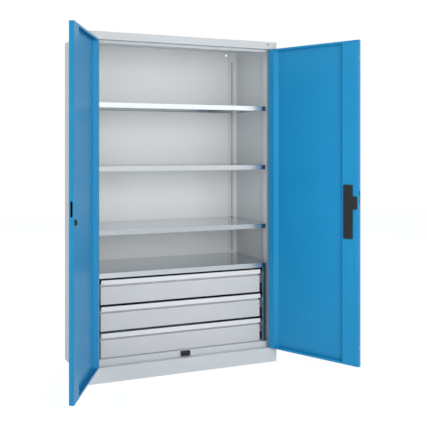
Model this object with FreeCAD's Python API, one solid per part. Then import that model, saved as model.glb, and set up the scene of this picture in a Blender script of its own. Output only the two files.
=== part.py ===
import FreeCAD, Part
import math
import os

# Tool cabinet with two hinged doors, three shelves and three drawers, in millimetres
# Frame: X to the right, Y to the back, Z up, origin on the floor under the cabinet's middle

# Outer size, as fitted to the perspective of the photo
cabinet_width = 1200.0
cabinet_depth = 500.0
cabinet_height = 1950.0

# Sheet steel
sheet = 1.0
bend = 1.0
sharp = -sheet
fit_gap = 0.2
corner_gap = 0.6
overrun = 2.0

# Front frame
stile_width = 30.0
door_recess = 40.0
side_stop_width = 10.0
plinth_height = 86.0
bottom_stop_height = 32.0
fascia_height = 43.0
top_stop_height = 14.0
corner_width = 41.0
ledge_shy = 2.0

# Rear
back_recess = 9.0
upright_depth = 10.0
rear_return = 25.0
roof_rear_flange = 12.0
wall_hole_inset = 77.0
wall_hole_drop = 21.0
wall_hole_radius = 7.5

# Plinth
plinth_flange = 35.0
plinth_top_flange = 25.0
plinth_leg = 50.0
floor_rear_flange = 20.0
floor_shy = 4.0

# Slotted uprights
upright_width = 58.0
slot_width = 17.0
slot_height = 6.0
slot_pitch = 15.0
slot_first_drop = 71.0
slot_end_gap = 15.0
front_slot_first = 2
front_slot_step = 4
slot_edge = 20.0
front_upright_depth = 43.0

# Shelves
shelf_shares = [0.26, 0.54, 0.82]
shelf_edge_height = 28.0
shelf_lip = 12.0
shelf_flange = 20.0
shelf_front_gap = 14.0
shelf_side_gap = 1.0
shelf_rear_gap = 1.5
shelf_notch_gap = 2.0

# Shelf clips
clip_width = 15.0
clip_height = 20.0
clip_rise = 10.5
clip_sheet = 1.7
clip_reach = 14.0
clip_tab = 2.0
clip_hook_height = 5.0
clip_hook_depth = 3.2
clip_hook_drop = 6.0

# Drawer block
cover_top = 600.5
cover_edge_height = 29.0
block_inset = 32.0
block_rear_gap = 11.0
block_rear_flange = 20.0
block_cover_gap = 0.3
tie_height = 45.0

# Drawers
drawer_pitch = 150.0
drawer_count = 3
finger_gap = 12.5
grip_setback = 7.4
grip_height = 25.9
grip_hem = 7.0
grip_hem_drop = 9.0
groove_height = 12.7
groove_depth = 8.0
panel_setback = 9.1
front_height = 101.0
front_depth = 30.0
trough_step = 4.6
slide_space = 13.6
drawer_rear_gap = 3.5
drawer_box_drop = 12.0
drawer_box_height = 119.0
drawer_hem = 8.0

# Telescopic slides
rail_setback = 22.5
rail_rear_gap = 7.5
rail_drop = 60.0
rail_height = 45.0
rail_sheet = 1.2
rail_ball_gap = 0.6
rail_outer_reach = 10.0
rail_middle_inset = 4.0
rail_middle_reach = 7.0
rail_inner_reach = 5.5

# Doors
door_side_gap = 3.0
door_centre_gap = 3.0
door_end_gap = 3.0
door_thickness = 25.0
door_hinge_lip = 35.0
stile_foot = 55.0
stile_seat_share = 0.8
door_free_lip = 24.0
door_end_lip = 12.0
door_notch = 3.0
stiffener_reach = 96.0
stiffener_foot = 18.0
stiffener_gap = 0.5
left_door_angle = 120.5
right_door_angle = 117.2

# Door pivots
pivot_inset = 4.0
pivot_pin_radius = 1.8
pivot_fit = 0.05
bush_body_half = 2.9
bush_flange_half = 3.6
bush_top_gap = 0.3
pivot_block = 12.0
pivot_block_height = 24.0
pin_end_gap = 0.3

# Door stop block
stop_block_width = 58.0
stop_block_height = 27.0
stop_block_depth = 14.0
stop_block_chamfer = 2.0
stop_block_rise = 4.0

# Fascia plug
plug_width = 14.0
plug_height = 9.0
plug_side_inset = 61.0
plug_drop = 16.0
plug_proud = 1.0

# Lock train: one pinion drives both rods and the side bolt
lock_centre_inset = 60.0
lock_centre_height = 998.0
gear_module = 1.5
gear_teeth = 15
gear_addendum = 1.0
gear_root_depth = 1.45
rack_root_depth = 1.6
tooth_tip_share = 0.22
tooth_root_share = 0.6
rod_width = 8.0
rod_thickness = 3.0
rod_hole_gap = 0.5
rod_end_shy = 1.0
rod_tail = 26.0
rod_layer = 8.5
bolt_layer = 12.5
bolt_height = 34.0
bolt_bar_height = 11.0
bolt_head_length = 30.0
bolt_tail = 24.0
bolt_shy = 0.7
hub_radius = 8.0
hub_fit = 0.1
square_drive = 8.0
drive_gap = 0.1

# Lock case, cover and guides
case_width = 63.0
case_height = 124.0
case_post = 5.0
case_front_inset = 4.5
case_rear_inset = 5.5
cover_width = 52.0
cover_height = 302.0
cover_depth = 9.0
cover_wall = 1.5
cover_chamfer = 4.0
cover_free_inset = 34.0
cover_drop = 202.0
ear_width = 26.0
ear_height = 72.0
ear_drop = 36.0
guide_width = 22.0
guide_height = 12.0
guide_depth = 14.5
guide_inset = 32.0
guide_gap = 0.3

# Edge openings, rivets and buffer
edge_slot_width = 12.0
edge_slot_height = 66.0
strike_slot_width = 10.0
strike_slot_height = 75.0
strike_slot_drop = 22.0
strike_rim = 1.0
strike_plate_margin = 8.0
strike_plate_sheet = 3.0
rivet_radius = 3.5
rivet_height = 0.8
rivet_sides = 12
rivet_shares = [0.058, 0.554, 0.944]
buffer_radius = 17.0
buffer_height = 10.0
buffer_inset = 20.0
buffer_drop = 49.0

# Outside handle
rose_width = 50.0
rose_length = 84.0
rose_height = 6.0
rose_chamfer = 4.0
handle_neck_radius = 10.0
handle_fit = 0.4
handle_lift = 7.0
handle_length = 96.0
handle_width = 26.0
handle_waist = 34.0
handle_thickness = 22.0
cylinder_radius = 7.0
cylinder_depth = 14.0
cylinder_fit = 0.05
cylinder_proud = 1.5
key_slot_width = 1.6
key_slot_length = 8.0
key_slot_depth = 6.0

# Levels and planes that several pieces share
half_width = cabinet_width / 2
front_y = -cabinet_depth / 2
rear_y = cabinet_depth / 2
stop_y = front_y + door_recess
wall_x = half_width - sheet
opening_x = half_width - stile_width
stop_x = opening_x - side_stop_width
floor_z = plinth_height + bottom_stop_height
roof_z = cabinet_height - sheet
lintel_z = cabinet_height - fascia_height
back_y = rear_y - back_recess
upright_y = back_y - upright_depth
front_upright_y = stop_y + sheet + front_upright_depth
slot_first_z = cabinet_height - slot_first_drop
slot_span = slot_first_z - cover_top
slot_count = int((slot_span - slot_end_gap) / slot_pitch) + 1
shelf_half_front = stop_x - shelf_front_gap
block_half_width = stop_x - block_inset
drawer_half_width = block_half_width - slide_space
grip_y = stop_y + grip_setback
panel_y = grip_y + panel_setback
groove_y = panel_y + groove_depth
box_front_y = panel_y + front_depth
block_rear_y = upright_y - block_rear_gap
door_bottom_z = plinth_height + door_end_gap
door_top_z = lintel_z - door_end_gap
door_hinge_x = opening_x - door_side_gap
door_free_x = door_centre_gap / 2
door_inner_y = front_y + door_thickness
door_middle_y = front_y + door_thickness / 2
pivot_x = door_hinge_x - pivot_inset
pivot_y = front_y + pivot_inset
lock_x = door_free_x + lock_centre_inset
gear_radius = gear_module * gear_teeth / 2
tooth_pitch = math.pi * gear_module
rod_y = front_y + rod_layer
bolt_y = front_y + bolt_layer
rod_offset = gear_radius + rack_root_depth
strike_slot_z = lock_centre_height - strike_slot_drop
origin = FreeCAD.Vector(0, 0, 0)
x_axis = FreeCAD.Vector(1, 0, 0)
y_axis = FreeCAD.Vector(0, 1, 0)
z_axis = FreeCAD.Vector(0, 0, 1)


# A box between two corners
def block(x_low, y_low, z_low, x_high, y_high, z_high):
    return Part.makeBox(
        x_high - x_low, y_high - y_low, z_high - z_low, FreeCAD.Vector(x_low, y_low, z_low)
    )


# A cylinder along Y from a front plane to a rear plane
def round_y(radius, x, z, y_front, y_rear):
    return Part.makeCylinder(radius, y_rear - y_front, FreeCAD.Vector(x, y_front, z), y_axis)


# A vertical cylinder
def round_z(radius, x, y, z_low, z_high):
    return Part.makeCylinder(radius, z_high - z_low, FreeCAD.Vector(x, y, z_low), z_axis)


# An upright square post about a vertical axis
def square_post(half, x, y, z_low, z_high):
    return block(x - half, y - half, z_low, x + half, y + half, z_high)


# The solids joined into one, without leftover seams
def joined(solids):
    whole = solids[0]
    if len(solids) > 1:
        whole = whole.fuse(solids[1:])
    return whole.removeSplitter()


# The cross-section of a folded sheet: the given line is one face, the metal lies to its left.
# A corner's third value is its own inner radius.
def sheet_face(points, thick, inner):
    steps = []
    for start, end in zip(points[:-1], points[1:]):
        length = math.hypot(end[0] - start[0], end[1] - start[1])
        steps.append(((end[0] - start[0]) / length, (end[1] - start[1]) / length))
    given = [(points[0], None)]
    offset = [((points[0][0] - steps[0][1] * thick, points[0][1] + steps[0][0] * thick), None)]
    for corner, before, after in zip(points[1:-1], steps[:-1], steps[1:]):
        dot = before[0] * after[0] + before[1] * after[1]
        shift_x = -(before[1] + after[1]) / (1 + dot) * thick
        shift_y = (before[0] + after[0]) / (1 + dot) * thick
        left_turn = before[0] * after[1] - before[1] * after[0] > 0
        radius = corner[2] if len(corner) > 2 else inner
        outside = (before, after, radius + thick)
        inside = (before, after, radius)
        given.append((corner, outside if left_turn else inside))
        moved = (corner[0] + shift_x, corner[1] + shift_y)
        offset.append((moved, inside if left_turn else outside))
    given.append((points[-1], None))
    last = steps[-1]
    offset.append(((points[-1][0] - last[1] * thick, points[-1][1] + last[0] * thick), None))
    backwards = []
    for corner, turn in reversed(offset):
        if turn is None:
            backwards.append((corner, None))
        else:
            before, after, radius = turn
            flipped = ((-after[0], -after[1]), (-before[0], -before[1]), radius)
            backwards.append((corner, flipped))
    return rounded_face(given + backwards)


# A closed outline whose marked corners are rounded by arcs
def rounded_face(corners):
    edges = []
    marks = []
    for corner, turn in corners:
        here = FreeCAD.Vector(corner[0], corner[1], 0)
        if turn is None or turn[2] <= 0:
            marks.append((here, None, here))
            continue
        before, after, radius = turn
        dot = max(-1, min(1, before[0] * after[0] + before[1] * after[1]))
        half_turn = math.acos(dot) / 2
        reach = radius * math.tan(half_turn)
        one = FreeCAD.Vector(before[0], before[1], 0)
        two = FreeCAD.Vector(after[0], after[1], 0)
        inward = two - one
        inward.normalize()
        middle = here + inward * (radius / math.cos(half_turn) - radius)
        marks.append((here - one * reach, middle, here + two * reach))
    for index, mark in enumerate(marks):
        begin, middle, end = mark
        if middle is not None:
            edges.append(Part.Arc(begin, middle, end).toShape())
        following = marks[(index + 1) % len(marks)][0]
        if (following - end).Length > sheet / 1000:
            edges.append(Part.LineSegment(end, following).toShape())
    return Part.Face(Part.Wire(edges))


# Folded sheet standing on its cross-section in X and Y
def fold_xy(points, z_low, z_high, thick=sheet, inner=bend):
    face = sheet_face(points, thick, inner)
    face.translate(FreeCAD.Vector(0, 0, z_low))
    return face.extrude(FreeCAD.Vector(0, 0, z_high - z_low))


# Folded sheet with its cross-section in Y and Z, running along X
def fold_yz(points, x_low, x_high, thick=sheet, inner=bend):
    face = sheet_face(points, thick, inner)
    face.rotate(origin, FreeCAD.Vector(1, 1, 1), 120)
    face.translate(FreeCAD.Vector(x_low, 0, 0))
    return face.extrude(FreeCAD.Vector(x_high - x_low, 0, 0))


# Folded sheet with its cross-section in X and Z, running along Y
def fold_xz(points, y_front, y_rear, thick=sheet, inner=bend):
    face = sheet_face(points, thick, inner)
    face.rotate(origin, x_axis, 90)
    face.translate(FreeCAD.Vector(0, y_front, 0))
    return face.extrude(FreeCAD.Vector(0, y_rear - y_front, 0))


# An upright obround standing on its long axis, running along X
def obround_x(width, height, x_low, x_high, y, z_bottom):
    radius = width / 2
    straight = height - width
    low = FreeCAD.Vector(x_low, y, z_bottom + radius)
    high = FreeCAD.Vector(x_low, y, z_bottom + radius + straight)
    run = x_high - x_low
    middle = block(x_low, y - radius, low.z, x_high, y + radius, high.z)
    ends = [Part.makeCylinder(radius, run, low, x_axis), Part.makeCylinder(radius, run, high, x_axis)]
    return joined([middle] + ends)


# The same piece on the other side of the cabinet
def mirrored(shape):
    return shape.mirror(origin, x_axis)


# A right door piece swung to where the open door stands
def swung_right(shape):
    moved = shape.copy()
    moved.rotate(FreeCAD.Vector(pivot_x, pivot_y, 0), z_axis, right_door_angle)
    return moved


# A left door piece, modelled on the right, mirrored and swung open
def swung_left(shape):
    moved = mirrored(shape)
    moved.rotate(FreeCAD.Vector(-pivot_x, pivot_y, 0), z_axis, -left_door_angle)
    return moved


# Side panel: wall, rear return, stile, return and stop flange in one sheet
def side_panel():
    split_z = plinth_height - sheet
    upper = fold_xy(
        [
            (stop_x, stop_y),
            (opening_x, stop_y, sharp),
            (opening_x, front_y),
            (half_width, front_y),
            (half_width, rear_y, 0),
            (half_width - rear_return, rear_y),
        ],
        split_z,
        roof_z,
    )
    lower = fold_xy(
        [
            (half_width - corner_width, front_y),
            (half_width, front_y),
            (half_width, rear_y, 0),
            (half_width - rear_return, rear_y),
        ],
        0,
        split_z,
    )
    return joined([upper, lower])


# Back panel: a shallow pan with two holes for fixing the cabinet to a wall
def back_panel():
    side_x = wall_x - corner_gap
    edge_y = rear_y - sheet - corner_gap
    pan = fold_xy(
        [(-side_x, edge_y), (-side_x, back_y), (side_x, back_y), (side_x, edge_y)],
        0,
        roof_z,
        sheet,
        sharp,
    )
    hole_z = cabinet_height - wall_hole_drop
    for side in (-1, 1):
        x = side * (half_width - wall_hole_inset)
        pan = pan.cut(round_y(wall_hole_radius, x, hole_z, back_y - overrun, edge_y + overrun))
    return pan


# Holes through both ledges for the door pivots and the lock rods
def ledge_holes():
    cutters = []
    low_z = plinth_height - plinth_top_flange
    high_z = lintel_z + plinth_top_flange
    for side in (-1, 1):
        x = side * pivot_x
        cutters.append(square_post(bush_body_half, x, pivot_y, plinth_height - overrun, floor_z))
        cutters.append(square_post(bush_body_half, x, pivot_y, lintel_z - overrun, lintel_z + overrun))
    y_low = rod_y - rod_hole_gap
    y_high = rod_y + rod_thickness + rod_hole_gap
    inner = rod_offset - rod_hole_gap
    outer = rod_offset + rod_width + rod_hole_gap
    cutters.append(block(lock_x + inner, y_low, lintel_z - overrun, lock_x + outer, y_high, high_z))
    cutters.append(block(lock_x - outer, y_low, low_z, lock_x - inner, y_high, floor_z))
    return cutters


# Top panel: roof, fascia, underside ledge and stop flange
def top_panel():
    rear_z = cabinet_height - roof_rear_flange
    line = [
        (rear_y, rear_z),
        (rear_y, cabinet_height, 0),
        (front_y, cabinet_height, 0),
        (front_y, lintel_z, 0),
    ]
    stop_end = [(stop_y, lintel_z, sharp), (stop_y, lintel_z - top_stop_height)]
    middle = fold_yz(line + stop_end, -(stop_x - fit_gap), stop_x - fit_gap)
    ledge_end = [(stop_y - ledge_shy, lintel_z)]
    wide = fold_yz(line + ledge_end, -(opening_x - fit_gap), opening_x - fit_gap)
    edge = sheet + bend
    roof = block(-half_width, front_y + edge, roof_z, half_width, rear_y - edge, cabinet_height)
    return joined([middle, wide, roof]).cut(ledge_holes())


# Bottom panel: ledge, stop flange and floor plate
def bottom_panel():
    rear_edge = upright_y
    middle = fold_yz(
        [
            (rear_edge, floor_z - floor_rear_flange),
            (rear_edge, floor_z, sharp),
            (stop_y, floor_z, 0),
            (stop_y, plinth_height, sharp),
            (front_y, plinth_height),
        ],
        -(stop_x - fit_gap),
        stop_x - fit_gap,
    )
    ledge_top = plinth_height
    ledge_x = opening_x - fit_gap
    ledge = block(-ledge_x, front_y, ledge_top - sheet, ledge_x, stop_y - ledge_shy, ledge_top)
    floor_front = stop_y + floor_shy
    floor_x = wall_x - corner_gap
    plate = block(-floor_x, floor_front, floor_z - sheet, floor_x, rear_edge - floor_shy, floor_z)
    return joined([middle, ledge, plate]).cut(ledge_holes())


# Plinth: front skirt and the flanged frame that the cabinet stands on
def plinth():
    top = plinth_height - sheet
    skirt_x = half_width - corner_width - fit_gap
    skirt = fold_yz(
        [
            (front_y + plinth_top_flange, top),
            (front_y, top, sharp),
            (front_y, 0, 0),
            (front_y + plinth_flange, 0),
        ],
        -skirt_x,
        skirt_x,
    )
    ring_x = wall_x - corner_gap
    ring_front = front_y + sheet + corner_gap
    hole_x = ring_x - plinth_flange
    hole_front = front_y + plinth_flange
    hole_rear = back_y - plinth_flange
    ring = block(-ring_x, ring_front, 0, ring_x, back_y, sheet)
    ring = ring.cut(block(-hole_x, hole_front, -overrun, hole_x, hole_rear, plinth_leg))
    legs = []
    for side in (-1, 1):
        outer = side * ring_x
        inner = side * (ring_x - sheet)
        legs.append(block(min(outer, inner), ring_front, 0, max(outer, inner), back_y, plinth_leg))
    legs.append(block(-ring_x, back_y - sheet, 0, ring_x, back_y, plinth_leg))
    return joined([skirt, ring] + legs).cut(ledge_holes())


# The row of slots in an upright's face
def slot_row(x, y_front, y_rear, first, step):
    slots = []
    for index in range(first, slot_count, step):
        z = slot_first_z - index * slot_pitch
        low = z - slot_height / 2
        slots.append(
            block(x - slot_width / 2, y_front, low, x + slot_width / 2, y_rear, low + slot_height)
        )
    return slots


# Rear slotted upright, a shallow channel against the back panel
def rear_upright():
    outer_x = wall_x - corner_gap
    inner_x = outer_x - upright_width
    post = fold_xy(
        [(inner_x, back_y), (inner_x, upright_y), (outer_x, upright_y), (outer_x, back_y)],
        floor_z,
        roof_z,
        sheet,
        sharp,
    )
    slot_x = inner_x + slot_edge
    return post.cut(slot_row(slot_x, upright_y - overrun, upright_y + sheet + overrun, 0, 1))


# Front slotted upright behind the stile, with every fourth slot
def front_upright():
    outer_x = wall_x - corner_gap
    front = stop_y + sheet
    post = fold_xy(
        [(outer_x, front_upright_y), (stop_x, front_upright_y), (stop_x, front)],
        floor_z,
        roof_z,
        sheet,
        sharp,
    )
    slot_x = stop_x + slot_edge
    plane = front_upright_y
    first = front_slot_first
    slots = slot_row(slot_x, plane - sheet - overrun, plane + overrun, first, front_slot_step)
    return post.cut(slots)


# A folded galvanised tray: shelf or drawer block cover
def tray(top, edge_height):
    rear = upright_y - shelf_rear_gap
    middle = fold_yz(
        [
            (rear, top - shelf_flange),
            (rear, top, sharp),
            (stop_y, top, 0),
            (stop_y, top - edge_height, sharp),
            (stop_y + shelf_lip, top - edge_height),
        ],
        -shelf_half_front,
        shelf_half_front,
    )
    outer = wall_x - shelf_side_gap
    wing_front = front_upright_y + shelf_notch_gap
    wings = fold_xz(
        [(-outer, top - shelf_flange), (-outer, top), (outer, top), (outer, top - shelf_flange)][::-1],
        wing_front,
        rear - bend - sheet,
        sheet,
        sharp,
    )
    return joined([middle, wings])


# One shelf clip hooked into a slot; toward is the direction in which its tab reaches
def clip(x, plane, slot_z, toward):
    near = plane + toward * clip_sheet
    tip = plane + toward * clip_reach
    hook = plane - toward * clip_hook_depth
    catch = plane - toward * (sheet + fit_gap)
    low = slot_z + clip_rise - clip_height
    high = slot_z + clip_rise
    half = clip_width / 2
    hook_half = clip_hook_height / 2
    plate = block(x - half, min(plane, near), low, x + half, max(plane, near), high)
    tab = block(x - half, min(plane, tip), high - clip_tab, x + half, max(plane, tip), high)
    tongue = block(
        x - half, min(plane, hook), slot_z - hook_half, x + half, max(plane, hook), slot_z + hook_half
    )
    barb = block(
        x - half, min(catch, hook), slot_z - clip_hook_drop, x + half, max(catch, hook), slot_z
    )
    return joined([plate, tab, tongue, barb])


# The four clips under one shelf
def shelf_clips(slot_z):
    rear_x = wall_x - corner_gap - upright_width + slot_edge
    front_x = stop_x + slot_edge
    clips = []
    for side in (-1, 1):
        clips.append(clip(side * rear_x, upright_y, slot_z, -1))
        clips.append(clip(side * front_x, front_upright_y, slot_z, 1))
    return Part.makeCompound(clips)


# Side wall of the drawer block with its front flange turned outward
def block_side():
    rear = block_rear_y
    flange_top = cover_top - cover_edge_height - block_cover_gap
    lower = fold_xy(
        [
            (block_half_width + block_rear_flange, rear),
            (block_half_width, rear, sharp),
            (block_half_width, stop_y, 0),
            (shelf_half_front, stop_y),
        ],
        floor_z,
        flange_top,
    )
    setback = stop_y + shelf_lip + overrun
    upper = block(
        block_half_width,
        setback,
        flange_top,
        block_half_width + sheet,
        rear - sheet - bend,
        cover_top - sheet,
    )
    return joined([lower, upper])


# Strip that ties the two drawer block walls at the rear
def block_tie():
    rear = block_rear_y
    top = cover_top - sheet
    reach = block_half_width
    return fold_yz(
        [(rear - block_rear_flange, top), (rear, top), (rear, top - tie_height)][::-1],
        -reach,
        reach,
        sheet,
        sharp,
    )


# Top edge of a drawer's grip
def grip_top(index):
    return cover_top - cover_edge_height - finger_gap - index * drawer_pitch


# Middle height of a drawer's slides
def rail_centre(index):
    return grip_top(index) - rail_drop


# Finger grip: folded strip with a hemmed top edge
def grip_strip(index):
    top = grip_top(index)
    low = top - grip_height
    return fold_yz(
        [
            (grip_y + grip_hem, top - grip_hem_drop),
            (grip_y + grip_hem, top, 0),
            (grip_y, top, 0),
            (grip_y, low, 0),
            (groove_y, low),
        ],
        -drawer_half_width,
        drawer_half_width,
    )


# Drawer front: panel, groove and finger trough in one folded sheet, closed at both ends
def drawer_front(index):
    panel_top = grip_top(index) - grip_height - groove_height
    panel_low = panel_top - front_height
    trough = panel_top + groove_height + trough_step
    rear = box_front_y
    skin = fold_yz(
        [
            (rear, trough),
            (groove_y, trough, sharp),
            (groove_y, panel_top, sharp),
            (panel_y, panel_top, 0),
            (panel_y, panel_low, 0),
            (rear, panel_low),
        ],
        -drawer_half_width,
        drawer_half_width,
    )
    ends = []
    inset = sheet + bend
    for side in (-1, 1):
        outer = side * drawer_half_width
        inner = side * (drawer_half_width - sheet)
        left = min(outer, inner)
        right = max(outer, inner)
        ends.append(
            block(left, panel_y + inset, panel_low + sheet / 2, right, rear, panel_top - sheet / 2)
        )
    return joined([skin] + ends)


# Drawer box: folded bottom and sides with hems, front and rear walls
def drawer_box(index):
    top = grip_top(index) - drawer_box_drop
    low = top - drawer_box_height
    front = box_front_y
    rear = block_rear_y - drawer_rear_gap
    side = drawer_half_width
    shell = fold_xz(
        [
            (-(side - drawer_hem), top),
            (-side, top),
            (-side, low),
            (side, low),
            (side, top),
            (side - drawer_hem, top),
        ],
        front,
        rear,
        sheet,
        sharp,
    )
    reach = side - sheet / 2
    walls = []
    for plane in (front, rear - sheet):
        walls.append(
            block(-reach, plane, low + sheet / 2, reach, plane + sheet, top - sheet / 2)
        )
    return joined([shell] + walls)


# One slide member: a channel whose web stands at web_x and whose lips reach toward the drawer
def slide_member(web_x, lip_x, centre, half_height):
    front = stop_y + rail_setback
    return fold_xz(
        [
            (lip_x, centre - half_height),
            (web_x, centre - half_height),
            (web_x, centre + half_height),
            (lip_x, centre + half_height),
        ],
        front,
        block_rear_y - rail_rear_gap,
        rail_sheet,
        -rail_sheet,
    )


# The outer slide members on one wall of the drawer block
def cabinet_rails():
    rails = []
    for index in range(drawer_count):
        rails.append(
            slide_member(
                block_half_width,
                block_half_width - rail_outer_reach,
                rail_centre(index),
                rail_height / 2,
            )
        )
    return rails


# The middle slide members of one drawer
def middle_rails(index):
    web_x = block_half_width - rail_middle_inset
    half = rail_height / 2 - rail_sheet - rail_ball_gap
    rail = slide_member(web_x, web_x - rail_middle_reach, rail_centre(index), half)
    return Part.makeCompound([rail, mirrored(rail)])


# The inner slide members on one drawer's sides
def drawer_rails(index):
    half = rail_height / 2 - (rail_sheet + rail_ball_gap) * 2
    front = stop_y + rail_setback + front_depth / 2
    web = fold_xz(
        [
            (drawer_half_width + rail_inner_reach, rail_centre(index) + half),
            (drawer_half_width, rail_centre(index) + half),
            (drawer_half_width, rail_centre(index) - half),
            (drawer_half_width + rail_inner_reach, rail_centre(index) - half),
        ],
        front,
        block_rear_y - rail_rear_gap,
        rail_sheet,
        -rail_sheet,
    )
    return Part.makeCompound([web, mirrored(web)])


# Black block in the middle of the bottom stop flange
def door_stop_block():
    low = plinth_height + stop_block_rise
    half = stop_block_width / 2
    body = block(-half, stop_y - stop_block_depth, low, half, stop_y, low + stop_block_height)
    front_edges = []
    for edge in body.Edges:
        if edge.BoundBox.YMax < stop_y - sheet / 2:
            front_edges.append(edge)
    return body.makeChamfer(stop_block_chamfer, front_edges)


# Small oval plug near the right end of the fascia
def fascia_plug():
    x = half_width - plug_side_inset
    z = cabinet_height - plug_drop
    radius = plug_height / 2
    offset = (plug_width - plug_height) / 2
    front = front_y - plug_proud
    middle = block(x - offset, front, z - radius, x + offset, front_y, z + radius)
    ends = [round_y(radius, x - offset, z, front, front_y)]
    ends.append(round_y(radius, x + offset, z, front, front_y))
    return joined([middle] + ends)


# Square bushes in the ledges, with a round bore for each door pivot
def pivot_bushes():
    bushes = []
    bore = pivot_pin_radius + pivot_fit
    height = door_end_gap - bush_top_gap
    for side in (-1, 1):
        x = side * pivot_x
        levels = ((plinth_height, 1), (lintel_z, -1))
        for ledge_z, up in levels:
            top = ledge_z + up * height
            under = ledge_z - up * sheet
            flange = square_post(
                bush_flange_half, x, pivot_y, min(ledge_z, top), max(ledge_z, top)
            )
            body = square_post(
                bush_body_half - fit_gap / 4, x, pivot_y, min(ledge_z, under), max(ledge_z, under)
            )
            low = min(top, under) - overrun
            high = max(top, under) + overrun
            bushes.append(joined([flange, body]).cut(round_z(bore, x, pivot_y, low, high)))
    return Part.makeCompound(bushes)


# Door skin in its closed place: vertical folds, a closed hinge stile, end plates and end lips
def door_pan():
    lip_x = door_hinge_x - door_hinge_lip
    seam_x = door_hinge_x - door_hinge_lip / 2
    skin = fold_xy(
        [
            (door_free_x + door_free_lip, door_inner_y),
            (door_free_x, door_inner_y, 0),
            (door_free_x, front_y, 0),
            (door_hinge_x, front_y, 0),
            (door_hinge_x, door_inner_y, 0),
            (seam_x, door_inner_y),
        ],
        door_bottom_z,
        door_top_z,
    )
    foot = (door_hinge_x - stile_foot, front_y + sheet * stile_seat_share)
    stile_wall = fold_xy(
        [(seam_x, door_inner_y), (lip_x, door_inner_y, sharp), foot],
        door_bottom_z,
        door_top_z,
    )
    parts = [skin, stile_wall]
    half = sheet / 2
    lip_low = door_free_x + door_free_lip + door_notch
    lip_high = lip_x - door_notch
    for plane, up in ((door_bottom_z, 1), (door_top_z, -1)):
        inner = plane + up * sheet
        lip = plane + up * door_end_lip
        parts.append(
            block(
                door_free_x + half,
                front_y + half,
                min(plane, inner),
                door_hinge_x - half,
                door_inner_y - half,
                max(plane, inner),
            )
        )
        line = [(door_middle_y, plane), (door_inner_y, plane), (door_inner_y, lip)]
        parts.append(fold_yz(line[::up], lip_low, lip_high, sheet, sharp))
    whole = joined(parts)
    pin_hole = pivot_pin_radius + fit_gap
    holes = []
    for plane in (door_bottom_z, door_top_z):
        holes.append(square_post(pin_hole, pivot_x, pivot_y, plane - overrun, plane + overrun))
    return whole.cut(holes)


# Right door skin with the openings for bolt, rods and handle
def right_door_pan():
    slot = block(
        door_free_x - overrun,
        door_middle_y - edge_slot_width / 2,
        lock_centre_height,
        door_free_x + sheet + overrun,
        door_middle_y + edge_slot_width / 2,
        lock_centre_height + edge_slot_height,
    )
    y_low = rod_y - rod_hole_gap
    y_high = rod_y + rod_thickness + rod_hole_gap
    inner = rod_offset - rod_hole_gap
    outer = rod_offset + rod_width + rod_hole_gap
    end = sheet + overrun
    top_z = door_top_z - end
    high_hole = block(lock_x + inner, y_low, top_z, lock_x + outer, y_high, door_top_z + overrun)
    low_z = door_bottom_z - overrun
    low_hole = block(lock_x - outer, y_low, low_z, lock_x - inner, y_high, door_bottom_z + end)
    hole = round_y(
        handle_neck_radius + handle_fit,
        lock_x,
        lock_centre_height,
        front_y - overrun,
        front_y + sheet + overrun,
    )
    return door_pan().cut([slot, high_hole, low_hole, hole])


# Left door skin with the obround opening for the strike
def left_door_pan():
    rim = strike_rim * 2
    slot = obround_x(
        strike_slot_width + rim,
        strike_slot_height + rim,
        door_free_x - overrun,
        door_free_x + sheet + overrun,
        door_middle_y,
        strike_slot_z - strike_rim,
    )
    return door_pan().cut(slot)


# Vertical stiffener behind the free lip of a door
def door_stiffener():
    web_x = door_free_x + stiffener_reach
    foot_y = front_y + sheet * 2
    edge_x = door_free_x + door_free_lip + stiffener_gap
    low = door_bottom_z + door_end_lip + stiffener_gap
    high = door_top_z - door_end_lip - stiffener_gap
    return fold_xy(
        [
            (web_x + stiffener_foot, foot_y),
            (web_x, foot_y, sharp),
            (web_x, door_inner_y, 0),
            (edge_x, door_inner_y),
        ],
        low,
        high,
    )


# Pivot blocks in the hinge corners with the pins that turn in the bushes
def door_pivots():
    pivots = []
    for plane, up in ((door_bottom_z, 1), (door_top_z, -1)):
        seat = plane + up * sheet
        end = seat + up * pivot_block_height
        tip = plane - up * (door_end_gap + sheet - pin_end_gap)
        low = min(seat, end)
        high = max(seat, end)
        inset = sheet + corner_gap
        front = front_y + inset
        body = block(
            door_hinge_x - inset - pivot_block,
            front,
            low,
            door_hinge_x - inset,
            front + pivot_block,
            high,
        )
        pin = round_z(pivot_pin_radius, pivot_x, pivot_y, min(tip, end), max(tip, end))
        pivots.append(joined([body, pin]))
    return Part.makeCompound(pivots)


# Rivets in the free edge of the right door
def edge_rivets():
    rivets = []
    for share in rivet_shares:
        z = door_bottom_z + share * (door_top_z - door_bottom_z)
        rim = []
        for index in range(rivet_sides):
            angle = math.radians(360 * index / rivet_sides)
            along_y = door_middle_y + rivet_radius * math.cos(angle)
            rim.append(FreeCAD.Vector(door_free_x, along_y, z + rivet_radius * math.sin(angle)))
        face = Part.Face(Part.makePolygon(rim + [rim[0]]))
        rivets.append(face.extrude(x_axis * -rivet_height))
    return Part.makeCompound(rivets)


# Black plate behind the left door's free edge that takes the side bolt
def strike_insert():
    x_rear = door_free_x + sheet + strike_plate_sheet
    half = strike_slot_width / 2 + strike_rim * 2
    plate = block(
        door_free_x + sheet,
        door_middle_y - half,
        strike_slot_z - strike_plate_margin,
        x_rear,
        door_middle_y + half,
        strike_slot_z + strike_slot_height + strike_plate_margin,
    )
    slot = obround_x(
        strike_slot_width,
        strike_slot_height,
        door_free_x - overrun,
        x_rear + overrun,
        door_middle_y,
        strike_slot_z,
    )
    return plate.cut(slot)


# Round black buffer on the inside of the left door near its free edge
def door_buffer():
    x = door_free_x + buffer_inset
    z = lock_centre_height - buffer_drop
    return round_y(buffer_radius, x, z, door_inner_y, door_inner_y + buffer_height)


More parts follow.
